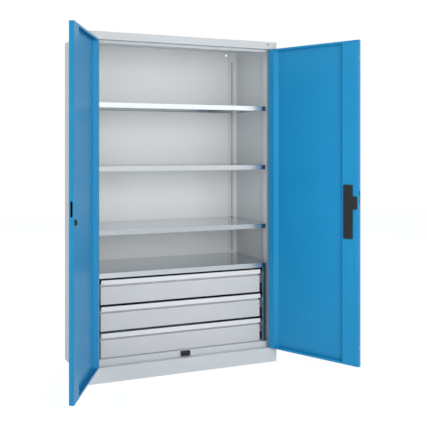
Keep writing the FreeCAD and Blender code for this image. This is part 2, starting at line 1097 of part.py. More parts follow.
# Rack teeth along Z on the side of a rod that faces the pinion
def rod_teeth(side, first, last):
    phase = gear_radius * math.radians(360 / gear_teeth / 4)
    root_x = lock_x + side * (rod_offset + rack_root_depth / 2)
    edge_x = lock_x + side * rod_offset
    tip_x = lock_x + side * (gear_radius - gear_addendum)
    root = tooth_pitch * tooth_root_share / 2
    tip = tooth_pitch * tooth_tip_share / 2
    teeth = []
    for index in range(first, last + 1):
        z = lock_centre_height + phase + index * tooth_pitch
        corners = [
            FreeCAD.Vector(root_x, rod_y, z - root),
            FreeCAD.Vector(edge_x, rod_y, z - root),
            FreeCAD.Vector(tip_x, rod_y, z - tip),
            FreeCAD.Vector(tip_x, rod_y, z + tip),
            FreeCAD.Vector(edge_x, rod_y, z + root),
            FreeCAD.Vector(root_x, rod_y, z + root),
        ]
        face = Part.Face(Part.makePolygon(corners + [corners[0]]))
        teeth.append(face.extrude(FreeCAD.Vector(0, rod_thickness, 0)))
    return teeth


# Upper lock rod with its rack on the hinge side of the pinion
def upper_rod():
    near = lock_x + rod_offset
    low = lock_centre_height - rod_tail
    top = door_top_z - rod_end_shy
    bar = block(near, rod_y, low, near + rod_width, rod_y + rod_thickness, top)
    return joined([bar] + rod_teeth(1, -5, 1))


# Lower lock rod with its rack on the free side of the pinion
def lower_rod():
    near = lock_x - rod_offset
    high = lock_centre_height + rod_tail
    low = door_bottom_z + rod_end_shy
    bar = block(near - rod_width, rod_y, low, near, rod_y + rod_thickness, high)
    return joined([bar] + rod_teeth(-1, -2, 4))


# Side bolt with its rack above the pinion, in a layer of its own
def side_bolt():
    low_z = lock_centre_height + rod_offset
    rear = bolt_y + rod_thickness
    tip_x = door_free_x + bolt_shy
    bar = block(tip_x, bolt_y, low_z, lock_x + bolt_tail, rear, low_z + bolt_bar_height)
    head = block(tip_x, bolt_y, low_z, tip_x + bolt_head_length, rear, low_z + bolt_height)
    root = tooth_pitch * tooth_root_share / 2
    tip = tooth_pitch * tooth_tip_share / 2
    over_z = low_z + rack_root_depth / 2
    tip_z = lock_centre_height + gear_radius - gear_addendum
    teeth = []
    for index in range(-2, 4):
        x = lock_x + tooth_pitch / 2 + index * tooth_pitch
        corners = [
            FreeCAD.Vector(x - root, bolt_y, over_z),
            FreeCAD.Vector(x - root, bolt_y, low_z),
            FreeCAD.Vector(x - tip, bolt_y, tip_z),
            FreeCAD.Vector(x + tip, bolt_y, tip_z),
            FreeCAD.Vector(x + root, bolt_y, low_z),
            FreeCAD.Vector(x + root, bolt_y, over_z),
        ]
        face = Part.Face(Part.makePolygon(corners + [corners[0]]))
        teeth.append(face.extrude(FreeCAD.Vector(0, rod_thickness, 0)))
    return joined([bar, head] + teeth)


# Pinion: toothed ring with a hub in the rear plate and a square drive through both
def lock_pinion():
    root_radius = gear_radius - gear_root_depth
    tip_radius = gear_radius + gear_addendum
    root = tooth_pitch * tooth_root_share / 2
    tip = tooth_pitch * tooth_tip_share / 2
    outline = []
    for index in range(gear_teeth):
        angle = math.radians(90 + index * 360 / gear_teeth)
        out_x = math.cos(angle)
        out_z = math.sin(angle)
        for radius, half in (
            (root_radius, -root),
            (tip_radius, -tip),
            (tip_radius, tip),
            (root_radius, root),
        ):
            outline.append(
                FreeCAD.Vector(
                    lock_x + radius * out_x - half * out_z,
                    rod_y - fit_gap,
                    lock_centre_height + radius * out_z + half * out_x,
                )
            )
    face = Part.Face(Part.makePolygon(outline + [outline[0]]))
    depth = bolt_y + rod_thickness - rod_y + fit_gap * 2
    ring = face.extrude(FreeCAD.Vector(0, depth, 0))
    hub_rear = door_inner_y - sheet - corner_gap
    hub_front = bolt_y + rod_thickness
    hub = round_y(hub_radius, lock_x, lock_centre_height, hub_front, hub_rear)
    square = square_drive / 2 + drive_gap
    drive = block(
        lock_x - square,
        front_y,
        lock_centre_height - square,
        lock_x + square,
        door_inner_y + overrun,
        lock_centre_height + square,
    )
    return joined([ring, hub]).cut(drive)


# Lock case: two plates on four posts, the pinion's hub turns in the rear one
def lock_case():
    half = case_width / 2
    low = lock_centre_height - case_height / 2
    high = lock_centre_height + case_height / 2
    bore = hub_radius + hub_fit
    left = lock_x - half
    right = lock_x + half
    front = front_y + case_front_inset
    rear = door_inner_y - case_rear_inset
    plates = []
    for plane in (front, rear):
        plate = block(left, plane, low, right, plane + sheet, high)
        hole = round_y(bore, lock_x, lock_centre_height, plane - overrun, plane + sheet + overrun)
        plates.append(plate.cut(hole))
    posts = []
    for post_x in (left, right - case_post):
        for post_z in (low, high - case_post):
            posts.append(
                block(
                    post_x,
                    front,
                    post_z,
                    post_x + case_post,
                    door_inner_y - sheet,
                    post_z + case_post,
                )
            )
    return joined(plates + posts)


# Lock cover on the stiffener with an ear over the side bolt
def lock_cover():
    near = door_free_x + cover_free_inset
    y_low = door_inner_y
    y_high = door_inner_y + cover_depth
    low = lock_centre_height - cover_drop
    main = block(near, y_low, low, near + cover_width, y_high, low + cover_height)
    ear_low = lock_centre_height - ear_drop
    ear_end = near + cover_chamfer
    ear = block(near - ear_width, y_low, ear_low, ear_end, y_high, ear_low + ear_height)
    whole = joined([main, ear])
    corners = []
    for edge in whole.Edges:
        box = edge.BoundBox
        if box.YLength > cover_depth / 2:
            corners.append(edge)
    whole = whole.makeChamfer(cover_chamfer, corners)
    wall = cover_wall
    y_inner = y_high - wall
    left = near + wall
    right = near + cover_width - wall
    hollow = block(left, y_low - overrun, low + wall, right, y_inner, low + cover_height - wall)
    ear_left = near - ear_width + wall
    ear_top = ear_low + ear_height - wall
    ear_hollow = block(ear_left, y_low - overrun, ear_low + wall, left + wall, y_inner, ear_top)
    inner = joined([hollow, ear_hollow])
    upright = []
    for edge in inner.Edges:
        if edge.BoundBox.YLength > cover_depth / 2:
            upright.append(edge)
    inner = inner.makeChamfer(cover_chamfer - wall / 2, upright)
    return whole.cut(inner)


# Guides on the door skin in which the rods slide
def rod_guides():
    guides = []
    places = ((1, door_top_z - guide_inset - guide_height), (-1, door_bottom_z + guide_inset))
    for side, low in places:
        middle = lock_x + side * (rod_offset + rod_width / 2)
        half = guide_width / 2
        front = front_y + sheet
        body = block(middle - half, front, low, middle + half, front_y + guide_depth, low + guide_height)
        gap = rod_width / 2 + guide_gap
        hole = block(
            middle - gap,
            rod_y - guide_gap,
            low - overrun,
            middle + gap,
            rod_y + rod_thickness + guide_gap,
            low + guide_height + overrun,
        )
        guides.append(body.cut(hole))
    return Part.makeCompound(guides)


# Rose on the outside of the right door, a plate with cut corners that carries the handle's neck
def handle_rose():
    front = front_y - rose_height
    half = rose_width / 2
    reach = rose_length / 2
    low = lock_centre_height - reach
    high = lock_centre_height + reach
    body = block(lock_x - half, front, low, lock_x + half, front_y, high)
    corners = []
    for edge in body.Edges:
        if edge.BoundBox.YLength > rose_height / 2:
            corners.append(edge)
    body = body.makeChamfer(rose_chamfer, corners)
    bore = handle_neck_radius + handle_fit
    return body.cut(round_y(bore, lock_x, lock_centre_height, front - overrun, front_y + overrun))


# Waisted turning handle with neck, square drive and the seat of the lock cylinder
def turning_handle():
    rear = front_y - handle_lift
    front = rear - handle_thickness
    wing = handle_width / 2
    reach = handle_length / 2 - wing
    waist = handle_waist / 2
    body = round_y(waist, lock_x, lock_centre_height, front, rear)
    parts = [body]
    for side in (-1, 1):
        x = lock_x + side * reach
        parts.append(round_y(wing, x, lock_centre_height, front, rear))
        parts.append(
            block(
                min(lock_x, x),
                front,
                lock_centre_height - wing,
                max(lock_x, x),
                rear,
                lock_centre_height + wing,
            )
        )
    neck = round_y(
        handle_neck_radius, lock_x, lock_centre_height, rear - overrun, front_y + sheet + bend
    )
    half = square_drive / 2
    drive = block(
        lock_x - half,
        front_y,
        lock_centre_height - half,
        lock_x + half,
        door_inner_y - sheet,
        lock_centre_height + half,
    )
    bore = cylinder_radius + cylinder_fit
    seat = round_y(bore, lock_x, lock_centre_height, front - overrun, front + cylinder_depth)
    return joined(parts + [neck, drive]).cut(seat)


# Key plug of the handle's lock cylinder
def lock_cylinder():
    front = front_y - handle_lift - handle_thickness
    rear = front + cylinder_depth
    plug = round_y(cylinder_radius, lock_x, lock_centre_height, front - cylinder_proud, rear)
    half_length = key_slot_length / 2
    half_width_slot = key_slot_width / 2
    key = block(
        lock_x - half_width_slot,
        front - cylinder_proud - overrun,
        lock_centre_height - half_length,
        lock_x + half_width_slot,
        front + key_slot_depth,
        lock_centre_height + half_length,
    )
    return plug.cut(key)


# One STEP file per node
def export(name, shape):
    shape.exportStep("parts/" + name + ".step")


os.makedirs("parts", exist_ok=True)

right_side = side_panel()
export("right_side_panel", right_side)
export("left_side_panel", mirrored(right_side))
export("back_panel", back_panel())
export("top_panel", top_panel())
export("bottom_panel", bottom_panel())
export("plinth", plinth())

right_rear_post = rear_upright()
right_front_post = front_upright()
export("rear_right_upright", right_rear_post)
export("rear_left_upright", mirrored(right_rear_post))
export("front_right_upright", right_front_post)
export("front_left_upright", mirrored(right_front_post))

for shelf_name, shelf_share in zip(("upper", "middle", "lower"), shelf_shares):
    slots_down = shelf_share * slot_span / slot_pitch
    slot_steps = round((slots_down - front_slot_first) / front_slot_step)
    slot_index = front_slot_first + slot_steps * front_slot_step
    shelf_slot_z = slot_first_z - slot_index * slot_pitch
    export("shelf_" + shelf_name, tray(shelf_slot_z + clip_rise + sheet, shelf_edge_height))
    export("shelf_clips_" + shelf_name, shelf_clips(shelf_slot_z))

export("drawer_block_cover", tray(cover_top, cover_edge_height))
right_block_side = block_side()
export("drawer_block_right_side", right_block_side)
export("drawer_block_left_side", mirrored(right_block_side))
export("drawer_block_rear_tie", block_tie())
right_rails = Part.makeCompound(cabinet_rails())
export("cabinet_rails_right", right_rails)
export("cabinet_rails_left", mirrored(right_rails))
export("door_stop_block", door_stop_block())
export("fascia_plug", fascia_plug())
export("pivot_bushes", pivot_bushes())

for drawer_index in range(drawer_count):
    drawer_name = "drawer_" + str(drawer_index + 1)
    export(drawer_name + "_box", drawer_box(drawer_index))
    export(drawer_name + "_front", drawer_front(drawer_index))
    export(drawer_name + "_grip", grip_strip(drawer_index))
    export(drawer_name + "_rails", drawer_rails(drawer_index))
    export(drawer_name + "_middle_rails", middle_rails(drawer_index))

export("left_door_pan", swung_left(left_door_pan()))
export("left_door_stiffener", swung_left(door_stiffener()))
export("left_door_pivots", swung_left(door_pivots()))
export("left_strike_insert", swung_left(strike_insert()))
export("left_door_buffer", swung_left(door_buffer()))

export("right_door_pan", swung_right(right_door_pan()))
export("right_door_stiffener", swung_right(door_stiffener()))
export("right_door_pivots", swung_right(door_pivots()))
export("edge_rivets", swung_right(edge_rivets()))
export("lock_case", swung_right(lock_case()))
export("lock_cover", swung_right(lock_cover()))
export("rod_guides", swung_right(rod_guides()))
export("handle_rose", swung_right(handle_rose()))
export("turning_handle", swung_right(turning_handle()))
export("lock_pinion", swung_right(lock_pinion()))
export("lock_cylinder", swung_right(lock_cylinder()))
export("upper_lock_rod", swung_right(upper_rod()))
export("lower_lock_rod", swung_right(lower_rod()))
export("side_bolt", swung_right(side_bolt()))
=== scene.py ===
import math

import bmesh
import bpy
from mathutils import Matrix, Vector
from mathutils.bvhtree import BVHTree


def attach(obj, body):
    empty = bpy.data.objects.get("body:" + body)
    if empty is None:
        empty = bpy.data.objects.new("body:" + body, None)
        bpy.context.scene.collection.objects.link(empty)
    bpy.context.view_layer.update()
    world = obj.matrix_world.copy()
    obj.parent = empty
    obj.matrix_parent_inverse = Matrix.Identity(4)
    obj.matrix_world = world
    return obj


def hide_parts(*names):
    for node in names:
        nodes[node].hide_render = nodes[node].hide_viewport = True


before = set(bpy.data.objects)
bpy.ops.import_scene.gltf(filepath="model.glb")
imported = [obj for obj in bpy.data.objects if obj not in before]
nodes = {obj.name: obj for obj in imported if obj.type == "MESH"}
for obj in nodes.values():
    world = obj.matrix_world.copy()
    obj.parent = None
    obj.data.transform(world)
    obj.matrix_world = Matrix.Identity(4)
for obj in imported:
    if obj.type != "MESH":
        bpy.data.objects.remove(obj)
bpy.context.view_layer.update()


# The camera stands left of the cabinet, a little under eye height, and looks in between
# the doors. It is level, so the uprights stay upright, and its shift frames the cabinet.
camera_data = bpy.data.cameras.new("camera")
camera_data.sensor_width = 36.0
camera_data.lens = 57.33
camera_data.shift_x = 0.1995
camera_data.shift_y = -0.1506
camera = bpy.data.objects.new("camera", camera_data)
camera.location = (-1.726, -3.820, 1.297)
camera.rotation_euler = (math.radians(90.0), 0.0, math.radians(-20.79))
bpy.context.scene.collection.objects.link(camera)
bpy.context.scene.camera = camera
bpy.context.scene.view_settings.view_transform = "Standard"


# A plain white studio: an even sky, soft lamps in front, left, right, behind, by the open
# door and for the shelves, and a floor of white paper. Only the right lamp shows in the
# metal, as the top shelf's bright edge. The upper lamp in its place adds the other light.
def linear(code):
    channels = []
    for start in (1, 3, 5):
        share = int(code[start:start + 2], 16) / 255.0
        channels.append(share / 12.92 if share <= 0.04045 else ((share + 0.055) / 1.055) ** 2.4)
    return (channels[0], channels[1], channels[2], 1.0)


def add_node(tree, kind, settings=None, links=None):
    made = tree.nodes.new(kind)
    for key, value in (settings or {}).items():
        if isinstance(key, str) and hasattr(made, key):
            setattr(made, key, value)
        else:
            made.inputs[key].default_value = value
    for key, source in (links or {}).items():
        tree.links.new(source, made.inputs[key])
    return made


def empty_material(name):
    material = bpy.data.materials.new(name)
    material.use_nodes = True
    material.node_tree.nodes.clear()
    return material


def soft_lamp(name, place, aim, size, power, tint="#ffffff"):
    data = bpy.data.lights.new(name, "AREA")
    data.shape = "RECTANGLE"
    data.size = size[0]
    data.size_y = size[1]
    data.energy = power
    data.color = linear(tint)[:3]
    lamp = bpy.data.objects.new(name, data)
    lamp.location = place
    lamp.rotation_euler = (Vector(aim) - Vector(place)).to_track_quat("-Z", "Y").to_euler()
    # Sheet metal mirrors the white room and not this lamp
    lamp.visible_glossy = False
    bpy.context.scene.collection.objects.link(lamp)
    return lamp


world = bpy.data.worlds.new("studio")
bpy.context.scene.world = world
world.use_nodes = True
sky = world.node_tree
sky.nodes.clear()
sky_rays = add_node(sky, "ShaderNodeLightPath")
sky_seen = add_node(
    sky, "ShaderNodeMath", {"operation": "MAXIMUM"},
    {0: sky_rays.outputs["Is Camera Ray"], 1: sky_rays.outputs["Is Glossy Ray"]},
)
sky_glow = add_node(sky, "ShaderNodeBackground", {"Color": linear("#e9f2f8"), "Strength": 0.53})
sky_white = add_node(sky, "ShaderNodeBackground", {"Color": (1.0, 1.0, 1.0, 1.0), "Strength": 1.0})
sky_mix = add_node(
    sky, "ShaderNodeMixShader", None,
    {0: sky_seen.outputs[0], 1: sky_glow.outputs[0], 2: sky_white.outputs[0]},
)
add_node(sky, "ShaderNodeOutputWorld", None, {"Surface": sky_mix.outputs[0]})

warm_white = "#fffcf8"
right_place = (1.5, -3.9, 2.25)
right_aim = (0.3, 0.0, 1.4)
right_size = (3.2, 1.6)
soft_lamp("key_lamp", (-0.4, -4.5, 1.9), (0.0, 0.0, 1.0), (2.2, 2.0), 60.0, warm_white)
right_lamp = soft_lamp("right_lamp", right_place, right_aim, right_size, 10.0, warm_white)
right_lamp.visible_glossy = True
soft_lamp("upper_lamp", right_place, right_aim, right_size, 7.0, warm_white)
soft_lamp("left_lamp", (-4.0, -1.2, 1.6), (0.0, 0.0, 1.0), (2.0, 2.5), 34.0)
soft_lamp("door_lamp", (0.1, -1.9, 1.15), (0.8, -0.5, 1.05), (0.5, 1.4), 8.0)
soft_lamp("rear_lamp", (2.0, 5.0, 3.4), (0.0, 0.0, 1.1), (3.0, 3.0), 90.0)
soft_lamp("inner_lamp", (0.0, -0.2175, 1.25), (0.0, 0.2, 1.25), (1.0, 1.2), 3.8)

floor_half = 9.0
floor_corners = [
    (-floor_half, -floor_half, 0.0), (floor_half, -floor_half, 0.0),
    (floor_half, floor_half, 0.0), (-floor_half, floor_half, 0.0),
]
floor_data = bpy.data.meshes.new("studio_floor")
floor_data.from_pydata(floor_corners, [], [(0, 1, 2, 3)])
studio_floor = bpy.data.objects.new("studio_floor", floor_data)
# Half a millimetre lower than the plinth, so that the two faces don't fight
studio_floor.location = (0.0, 0.0, -0.0005)
bpy.context.scene.collection.objects.link(studio_floor)
floor_paper = empty_material("white_studio_paper")
paper = floor_paper.node_tree
paper_rays = add_node(paper, "ShaderNodeLightPath")
paper_matt = add_node(
    paper, "ShaderNodeBsdfPrincipled", {"Base Color": linear("#f1f2f3"), "Roughness": 0.9}
)
paper_white = add_node(paper, "ShaderNodeEmission", {"Color": (1.0, 1.0, 1.0, 1.0), "Strength": 1.12})
paper_mirrored = add_node(
    paper, "ShaderNodeMath", {"operation": "MULTIPLY", 1: 0.4}, {0: paper_rays.outputs["Is Glossy Ray"]}
)
paper_share = add_node(
    paper, "ShaderNodeMath", {"operation": "MULTIPLY_ADD", 1: 0.8},
    {0: paper_rays.outputs["Is Camera Ray"], 2: paper_mirrored.outputs[0]},
)
paper_mix = add_node(
    paper, "ShaderNodeMixShader", None,
    {0: paper_share.outputs[0], 1: paper_matt.outputs[0], 2: paper_white.outputs[0]},
)
add_node(paper, "ShaderNodeOutputMaterial", None, {"Surface": paper_mix.outputs[0]})
floor_data.materials.append(floor_paper)


# The carcase is folded steel sheet, 1 mm thick, spot welded and powder coated in light
# grey. Baked powder leaves a faint orange peel about 2 mm across and an even satin gloss.
def powder_coat(name, colour, deeper, roughness, peel, ior=1.5):
    material = empty_material(name)
    tree = material.node_tree
    place = add_node(tree, "ShaderNodeTexCoord")
    # Orange peel of 2 mm would vanish at this distance, so it is drawn 6 mm wide
    waves = add_node(
        tree, "ShaderNodeTexNoise", {"Scale": 1.0 / 0.006, "Detail": 1.0, "Roughness": 0.4},
        {"Vector": place.outputs["Object"]},
    )
    # Film thickness drifts over some 300 mm, which shifts the shade very slightly
    drift = add_node(
        tree, "ShaderNodeTexNoise", {"Scale": 1.0 / 0.3, "Detail": 3.0, "Roughness": 0.5},
        {"Vector": place.outputs["Object"]},
    )
    shade = add_node(tree, "ShaderNodeValToRGB", None, {"Fac": drift.outputs["Fac"]})
    shade.color_ramp.elements[0].position = 0.3
    shade.color_ramp.elements[0].color = linear(deeper)
    shade.color_ramp.elements[1].position = 0.7
    shade.color_ramp.elements[1].color = linear(colour)
    satin = add_node(
        tree, "ShaderNodeMapRange",
        {"From Min": 0.3, "From Max": 0.7, "To Min": roughness - 0.03, "To Max": roughness + 0.04},
        {"Value": waves.outputs["Fac"]},
    )
    skin = add_node(
        tree, "ShaderNodeBump", {"Strength": peel, "Distance": 0.0003}, {"Height": waves.outputs["Fac"]}
    )
    coat = add_node(
        tree, "ShaderNodeBsdfPrincipled", {"IOR": ior},
        {
            "Base Color": shade.outputs["Color"],
            "Roughness": satin.outputs["Result"],
            "Normal": skin.outputs["Normal"],
        },
    )
    add_node(tree, "ShaderNodeOutputMaterial", None, {"Surface": coat.outputs[0]})
    return material


def dress(names, material):
    for name in names:
        slots = nodes[name].data.materials
        slots.clear()
        slots.append(material)


grey_powder_coat = powder_coat(
    "light_grey_powder_coat", "#d0d2d3", "#cdcfd0", roughness=0.42, peel=0.1
)
dress(
    [
        "left_side_panel", "right_side_panel", "back_panel", "top_panel", "bottom_panel", "plinth",
        "rear_left_upright", "rear_right_upright", "front_left_upright", "front_right_upright",
    ],
    grey_powder_coat,
)


# Shelves, drawer block cover, block walls and drawer boxes are galvanised sheet. The zinc
# is skin-passed, so its crystals of some 20 mm are faint, and rolling leaves fine lines.
def galvanised_sheet(name, colour, duller, roughness):
    material = empty_material(name)
    tree = material.node_tree
    place = add_node(tree, "ShaderNodeTexCoord")
    crystals = add_node(
        tree, "ShaderNodeTexVoronoi", {"feature": "SMOOTH_F1", "Scale": 1.0 / 0.02, "Smoothness": 0.6},
        {"Vector": place.outputs["Object"]},
    )
    spangle = add_node(tree, "ShaderNodeRGBToBW", None, {"Color": crystals.outputs["Color"]})
    stretch = add_node(
        tree, "ShaderNodeMapping", {"Scale": (4.0, 260.0, 260.0)}, {"Vector": place.outputs["Object"]}
    )
    lines = add_node(
        tree, "ShaderNodeTexNoise", {"Scale": 1.0, "Detail": 2.0}, {"Vector": stretch.outputs[0]}
    )
    shade = add_node(tree, "ShaderNodeValToRGB", None, {"Fac": spangle.outputs[0]})
    shade.color_ramp.elements[0].color = linear(duller)
    shade.color_ramp.elements[1].color = linear(colour)
    polish = add_node(
        tree, "ShaderNodeMapRange", {"To Min": roughness - 0.015, "To Max": roughness + 0.02},
        {"Value": spangle.outputs[0]},
    )
    grain = add_node(
        tree, "ShaderNodeBump", {"Strength": 0.03, "Distance": 0.0002}, {"Height": lines.outputs["Fac"]}
    )
    zinc = add_node(
        tree, "ShaderNodeBsdfPrincipled", {"Metallic": 1.0},
        {
            "Base Color": shade.outputs["Color"],
            "Roughness": polish.outputs["Result"],
            "Normal": grain.outputs["Normal"],
        },
    )
    add_node(tree, "ShaderNodeOutputMaterial", None, {"Surface": zinc.outputs[0]})
    return material


bright_zinc = galvanised_sheet("bright_galvanised_sheet", "#cfd5d9", "#cbd1d5", roughness=0.17)
dress(["shelf_upper", "shelf_middle", "shelf_lower", "drawer_block_cover"], bright_zinc)
dress(["drawer_block_left_side", "drawer_block_right_side", "drawer_block_rear_tie"], bright_zinc)
dress(["drawer_1_box", "drawer_2_box", "drawer_3_box"], bright_zinc)


# Shelf clips, slides, pins and lock parts are pressed or turned steel with a thin zinc
# plating: greyer than the sheets, with a finer and duller gloss.
plated_steel = galvanised_sheet("zinc_plated_steel", "#c3c6c9", "#b4b7ba", roughness=0.32)
for group in ("upper", "middle", "lower"):
    dress(["shelf_clips_" + group], plated_steel)
dress(["cabinet_rails_left", "cabinet_rails_right"], plated_steel)
for number in ("1", "2", "3"):
    dress(["drawer_" + number + "_rails", "drawer_" + number + "_middle_rails"], plated_steel)
dress(["left_door_pivots", "right_door_pivots", "lock_case", "lock_pinion"], plated_steel)
dress(["upper_lock_rod", "lower_lock_rod", "side_bolt"], plated_steel)


# Drawer fronts are folded from 1 mm sheet in the same light grey powder, a shade cooler
# than the carcase. Their bends are rolled to 3 mm, which gives each panel a soft bright
# edge, and a deep groove under the grip keeps a shadow line.
bend_steps = 5


def bent(corners, radii):
    path = [Vector(corners[0])]
    for index in range(1, len(corners) - 1):
        here = Vector(corners[index])
        back = (Vector(corners[index - 1]) - here).normalized()
        ahead = (Vector(corners[index + 1]) - here).normalized()
        radius = radii[index - 1]
        middle = here + (back + ahead) * radius
        for step in range(bend_steps + 1):
            angle = math.pi / 2.0 * step / bend_steps
            path.append(middle - (ahead * math.cos(angle) + back * math.sin(angle)) * radius)
    path.append(Vector(corners[-1]))
    return path


def sheet_outline(path, thick):
    left = []
    right = []
    for index, here in enumerate(path):
        before = path[max(index - 1, 0)]
        after = path[min(index + 1, len(path) - 1)]
        along = (after - before).normalized()
        across = Vector((-along.y, along.x)) * thick / 2.0
        left.append(here + across)
        right.append(here - across)
    return left + right[::-1]


def drawn_out(outline, x_low, x_high):
    mesh = bmesh.new()
    ends = []
    for x in (x_low, x_high):
        ends.append([mesh.verts.new((x, point.x, point.y)) for point in outline])
    for index in range(len(outline)):
        following = (index + 1) % len(outline)
        mesh.faces.new((ends[0][index], ends[0][following], ends[1][following], ends[1][index]))
    mesh.faces.new(ends[0])
    mesh.faces.new(ends[1])
    bmesh.ops.recalc_face_normals(mesh, faces=mesh.faces)
    return mesh


sharp_angle = math.radians(32.0)


def piece(name, meshes, material, body, move=None):
    whole = bmesh.new()
    for mesh in meshes:
        part = bpy.data.meshes.new("part")
        mesh.to_mesh(part)
        mesh.free()
        whole.from_mesh(part)
        bpy.data.meshes.remove(part)
    if move is not None:
        whole.transform(move)
    data = bpy.data.meshes.new(name)
    whole.to_mesh(data)
    whole.free()
    for face in data.polygons:
        face.use_smooth = True
    data.set_sharp_from_angle(angle=sharp_angle)
    data.materials.append(material)
    made = bpy.data.objects.new(name, data)
    bpy.context.scene.collection.objects.link(made)
    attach(made, body)
    return made


front_coat = powder_coat(
    "drawer_front_powder_coat", "#cfced0", "#cccbcd", roughness=0.38, peel=0.1
)
drawer_tops = {"1": 0.559, "2": 0.409, "3": 0.259}
drawer_half = 0.5144
sheet = 0.001
fold_rear = -0.1635
groove_floor = -0.1755
panel_face = -0.193
for number, top in drawer_tops.items():
    lip = top - 0.0218
    shoulder = top - 0.0391
    foot = top - 0.1391
    front_path = bent(
        [
            (fold_rear, lip), (groove_floor, lip), (groove_floor, shoulder),
            (panel_face, shoulder), (panel_face, foot), (fold_rear, foot),
        ],
        [0.0015, 0.0015, 0.003, 0.003],
    )
    skins = [drawn_out(sheet_outline(front_path, sheet), -drawer_half, drawer_half)]
    # A plate welded into each end closes the fold, stepped like the fold itself
    end_plate = [
        Vector((-0.1919, top - 0.1386)), Vector((fold_rear, top - 0.1386)),
        Vector((fold_rear, top - 0.0223)), Vector((-0.1749, top - 0.0223)),
        Vector((-0.1749, top - 0.0397)), Vector((-0.1919, top - 0.0397)),
    ]
    for side in (-1, 1):
        near = side * (drawer_half - sheet)
        far = side * drawer_half
        skins.append(drawn_out(end_plate, min(near, far), max(near, far)))
    skin = piece("front_panel_" + number, skins, front_coat, "drawer_" + number)
    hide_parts("drawer_" + number + "_front")


# The finger grips are folded strips of 1 mm sheet, clipped along the top of each front and
# powder coated in a lighter grey. Their top bend is rolled to 2 mm and catches the light.
grip_coat = powder_coat("grip_powder_coat", "#e6e6e6", "#e3e3e3", roughness=0.34, peel=0.1)
grip_rear = -0.1961
grip_face = -0.2021
for number, top in drawer_tops.items():
    crest = top - 0.0005
    edge = top - 0.0254
    grip_path = bent(
        [
            (grip_rear, top - 0.009), (grip_rear, crest), (grip_face, crest),
            (grip_face, edge), (-0.1761, edge),
        ],
        [0.0012, 0.002, 0.0015],
    )
    strip = drawn_out(sheet_outline(grip_path, sheet), -drawer_half, drawer_half)
    grip = piece("finger_grip_" + number, [strip], grip_coat, "drawer_" + number)
    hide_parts("drawer_" + number + "_grip")


# Doors are folded pans of the same sheet with a stiffener behind the free edge, powder
# coated light blue with more gloss than the grey. They hang on pins in the two ledges.
blue_powder_coat = powder_coat(
    "light_blue_powder_coat", "#1c8bbe", "#1988bb", roughness=0.36, peel=0.0, ior=1.38
)
dress(["left_door_pan", "left_door_stiffener"], blue_powder_coat)
dress(["right_door_pan", "right_door_stiffener"], blue_powder_coat)


# The small black pieces are moulded in glass-filled nylon, with a fine spark-eroded grain
# of about half a millimetre. The strike plate and the rod guides keep their plain forms.
def moulded_plastic(name, colour, lighter, roughness):
    material = empty_material(name)
    tree = material.node_tree
    place = add_node(tree, "ShaderNodeTexCoord")
    # The grain is drawn 2 mm wide so that it shows
    grain = add_node(
        tree, "ShaderNodeTexNoise", {"Scale": 1.0 / 0.002, "Detail": 3.0, "Roughness": 0.6},
        {"Vector": place.outputs["Object"]},
    )
    shade = add_node(tree, "ShaderNodeValToRGB", None, {"Fac": grain.outputs["Fac"]})
    shade.color_ramp.elements[0].color = linear(colour)
    shade.color_ramp.elements[1].color = linear(lighter)
    rough = add_node(
        tree, "ShaderNodeMapRange", {"To Min": roughness - 0.05, "To Max": roughness + 0.08},
        {"Value": grain.outputs["Fac"]},
    )
    spark = add_node(
        tree, "ShaderNodeBump", {"Strength": 0.2, "Distance": 0.0002}, {"Height": grain.outputs["Fac"]}
    )
    nylon = add_node(
        tree, "ShaderNodeBsdfPrincipled", {"IOR": 1.53},
        {
            "Base Color": shade.outputs["Color"],
            "Roughness": rough.outputs["Result"],
            "Normal": spark.outputs["Normal"],
        },
    )
    add_node(tree, "ShaderNodeOutputMaterial", None, {"Surface": nylon.outputs[0]})
    return material


black_nylon = moulded_plastic("black_nylon", "#131517", "#1d1f21", roughness=0.5)
dress(["left_strike_insert", "rod_guides"], black_nylon)


# Bushes in the ledges are natural acetal, turned white and waxy. They are pressed into the
# sheet, and the door pins run in them.
white_acetal = moulded_plastic("white_acetal", "#dcdcd6", "#e4e4df", roughness=0.35)
dress(["pivot_bushes"], white_acetal)


# The lock cover is a black clip-on moulding over the lock case. Its walls are 1.5 mm, its
# corners round, its long edges softened, and a short ear reaches over the side bolt.
corner_steps = 6
edge_steps = 5


def rounded_outline(corners, radius):
    outline = []
    for index, corner in enumerate(corners):
        here = Vector(corner)
        back = (Vector(corners[index - 1]) - here).normalized()
        ahead = (Vector(corners[(index + 1) % len(corners)]) - here).normalized()
        middle = here + (back + ahead) * radius
        for step in range(corner_steps + 1):
            angle = math.pi / 2.0 * step / corner_steps
            outline.append(middle - (ahead * math.cos(angle) + back * math.sin(angle)) * radius)
    return outline


def inset_outline(outline, inset):
    moved = []
    for index, here in enumerate(outline):
        along = (outline[(index + 1) % len(outline)] - outline[index - 1]).normalized()
        moved.append(here + Vector((-along.y, along.x)) * inset)
    return moved


def soft_edge(depth, radius):
    levels = []
    for step in range(edge_steps + 1):
        angle = math.pi / 2.0 * step / edge_steps
        levels.append((radius * (1.0 - math.cos(angle)), depth - radius * (1.0 - math.sin(angle))))
    # One more ring keeps the rounding's shading off the flat face
    levels.append((radius * 1.25, depth))
    return levels


to_front = -1.0
to_back = 1.0


def stacked(outline, levels, base, away):
    mesh = bmesh.new()
    rings = []
    for inset, depth in levels:
        ring = []
        for point in inset_outline(outline, inset):
            ring.append(mesh.verts.new((point.x, base + away * depth, point.y)))
        rings.append(ring)
    for below, above in zip(rings[:-1], rings[1:]):
        for index in range(len(below)):
            following = (index + 1) % len(below)
            mesh.faces.new((below[index], below[following], above[following], above[index]))
    mesh.faces.new(rings[0])
    mesh.faces.new(rings[-1])
    bmesh.ops.recalc_face_normals(mesh, faces=mesh.faces)
    return mesh


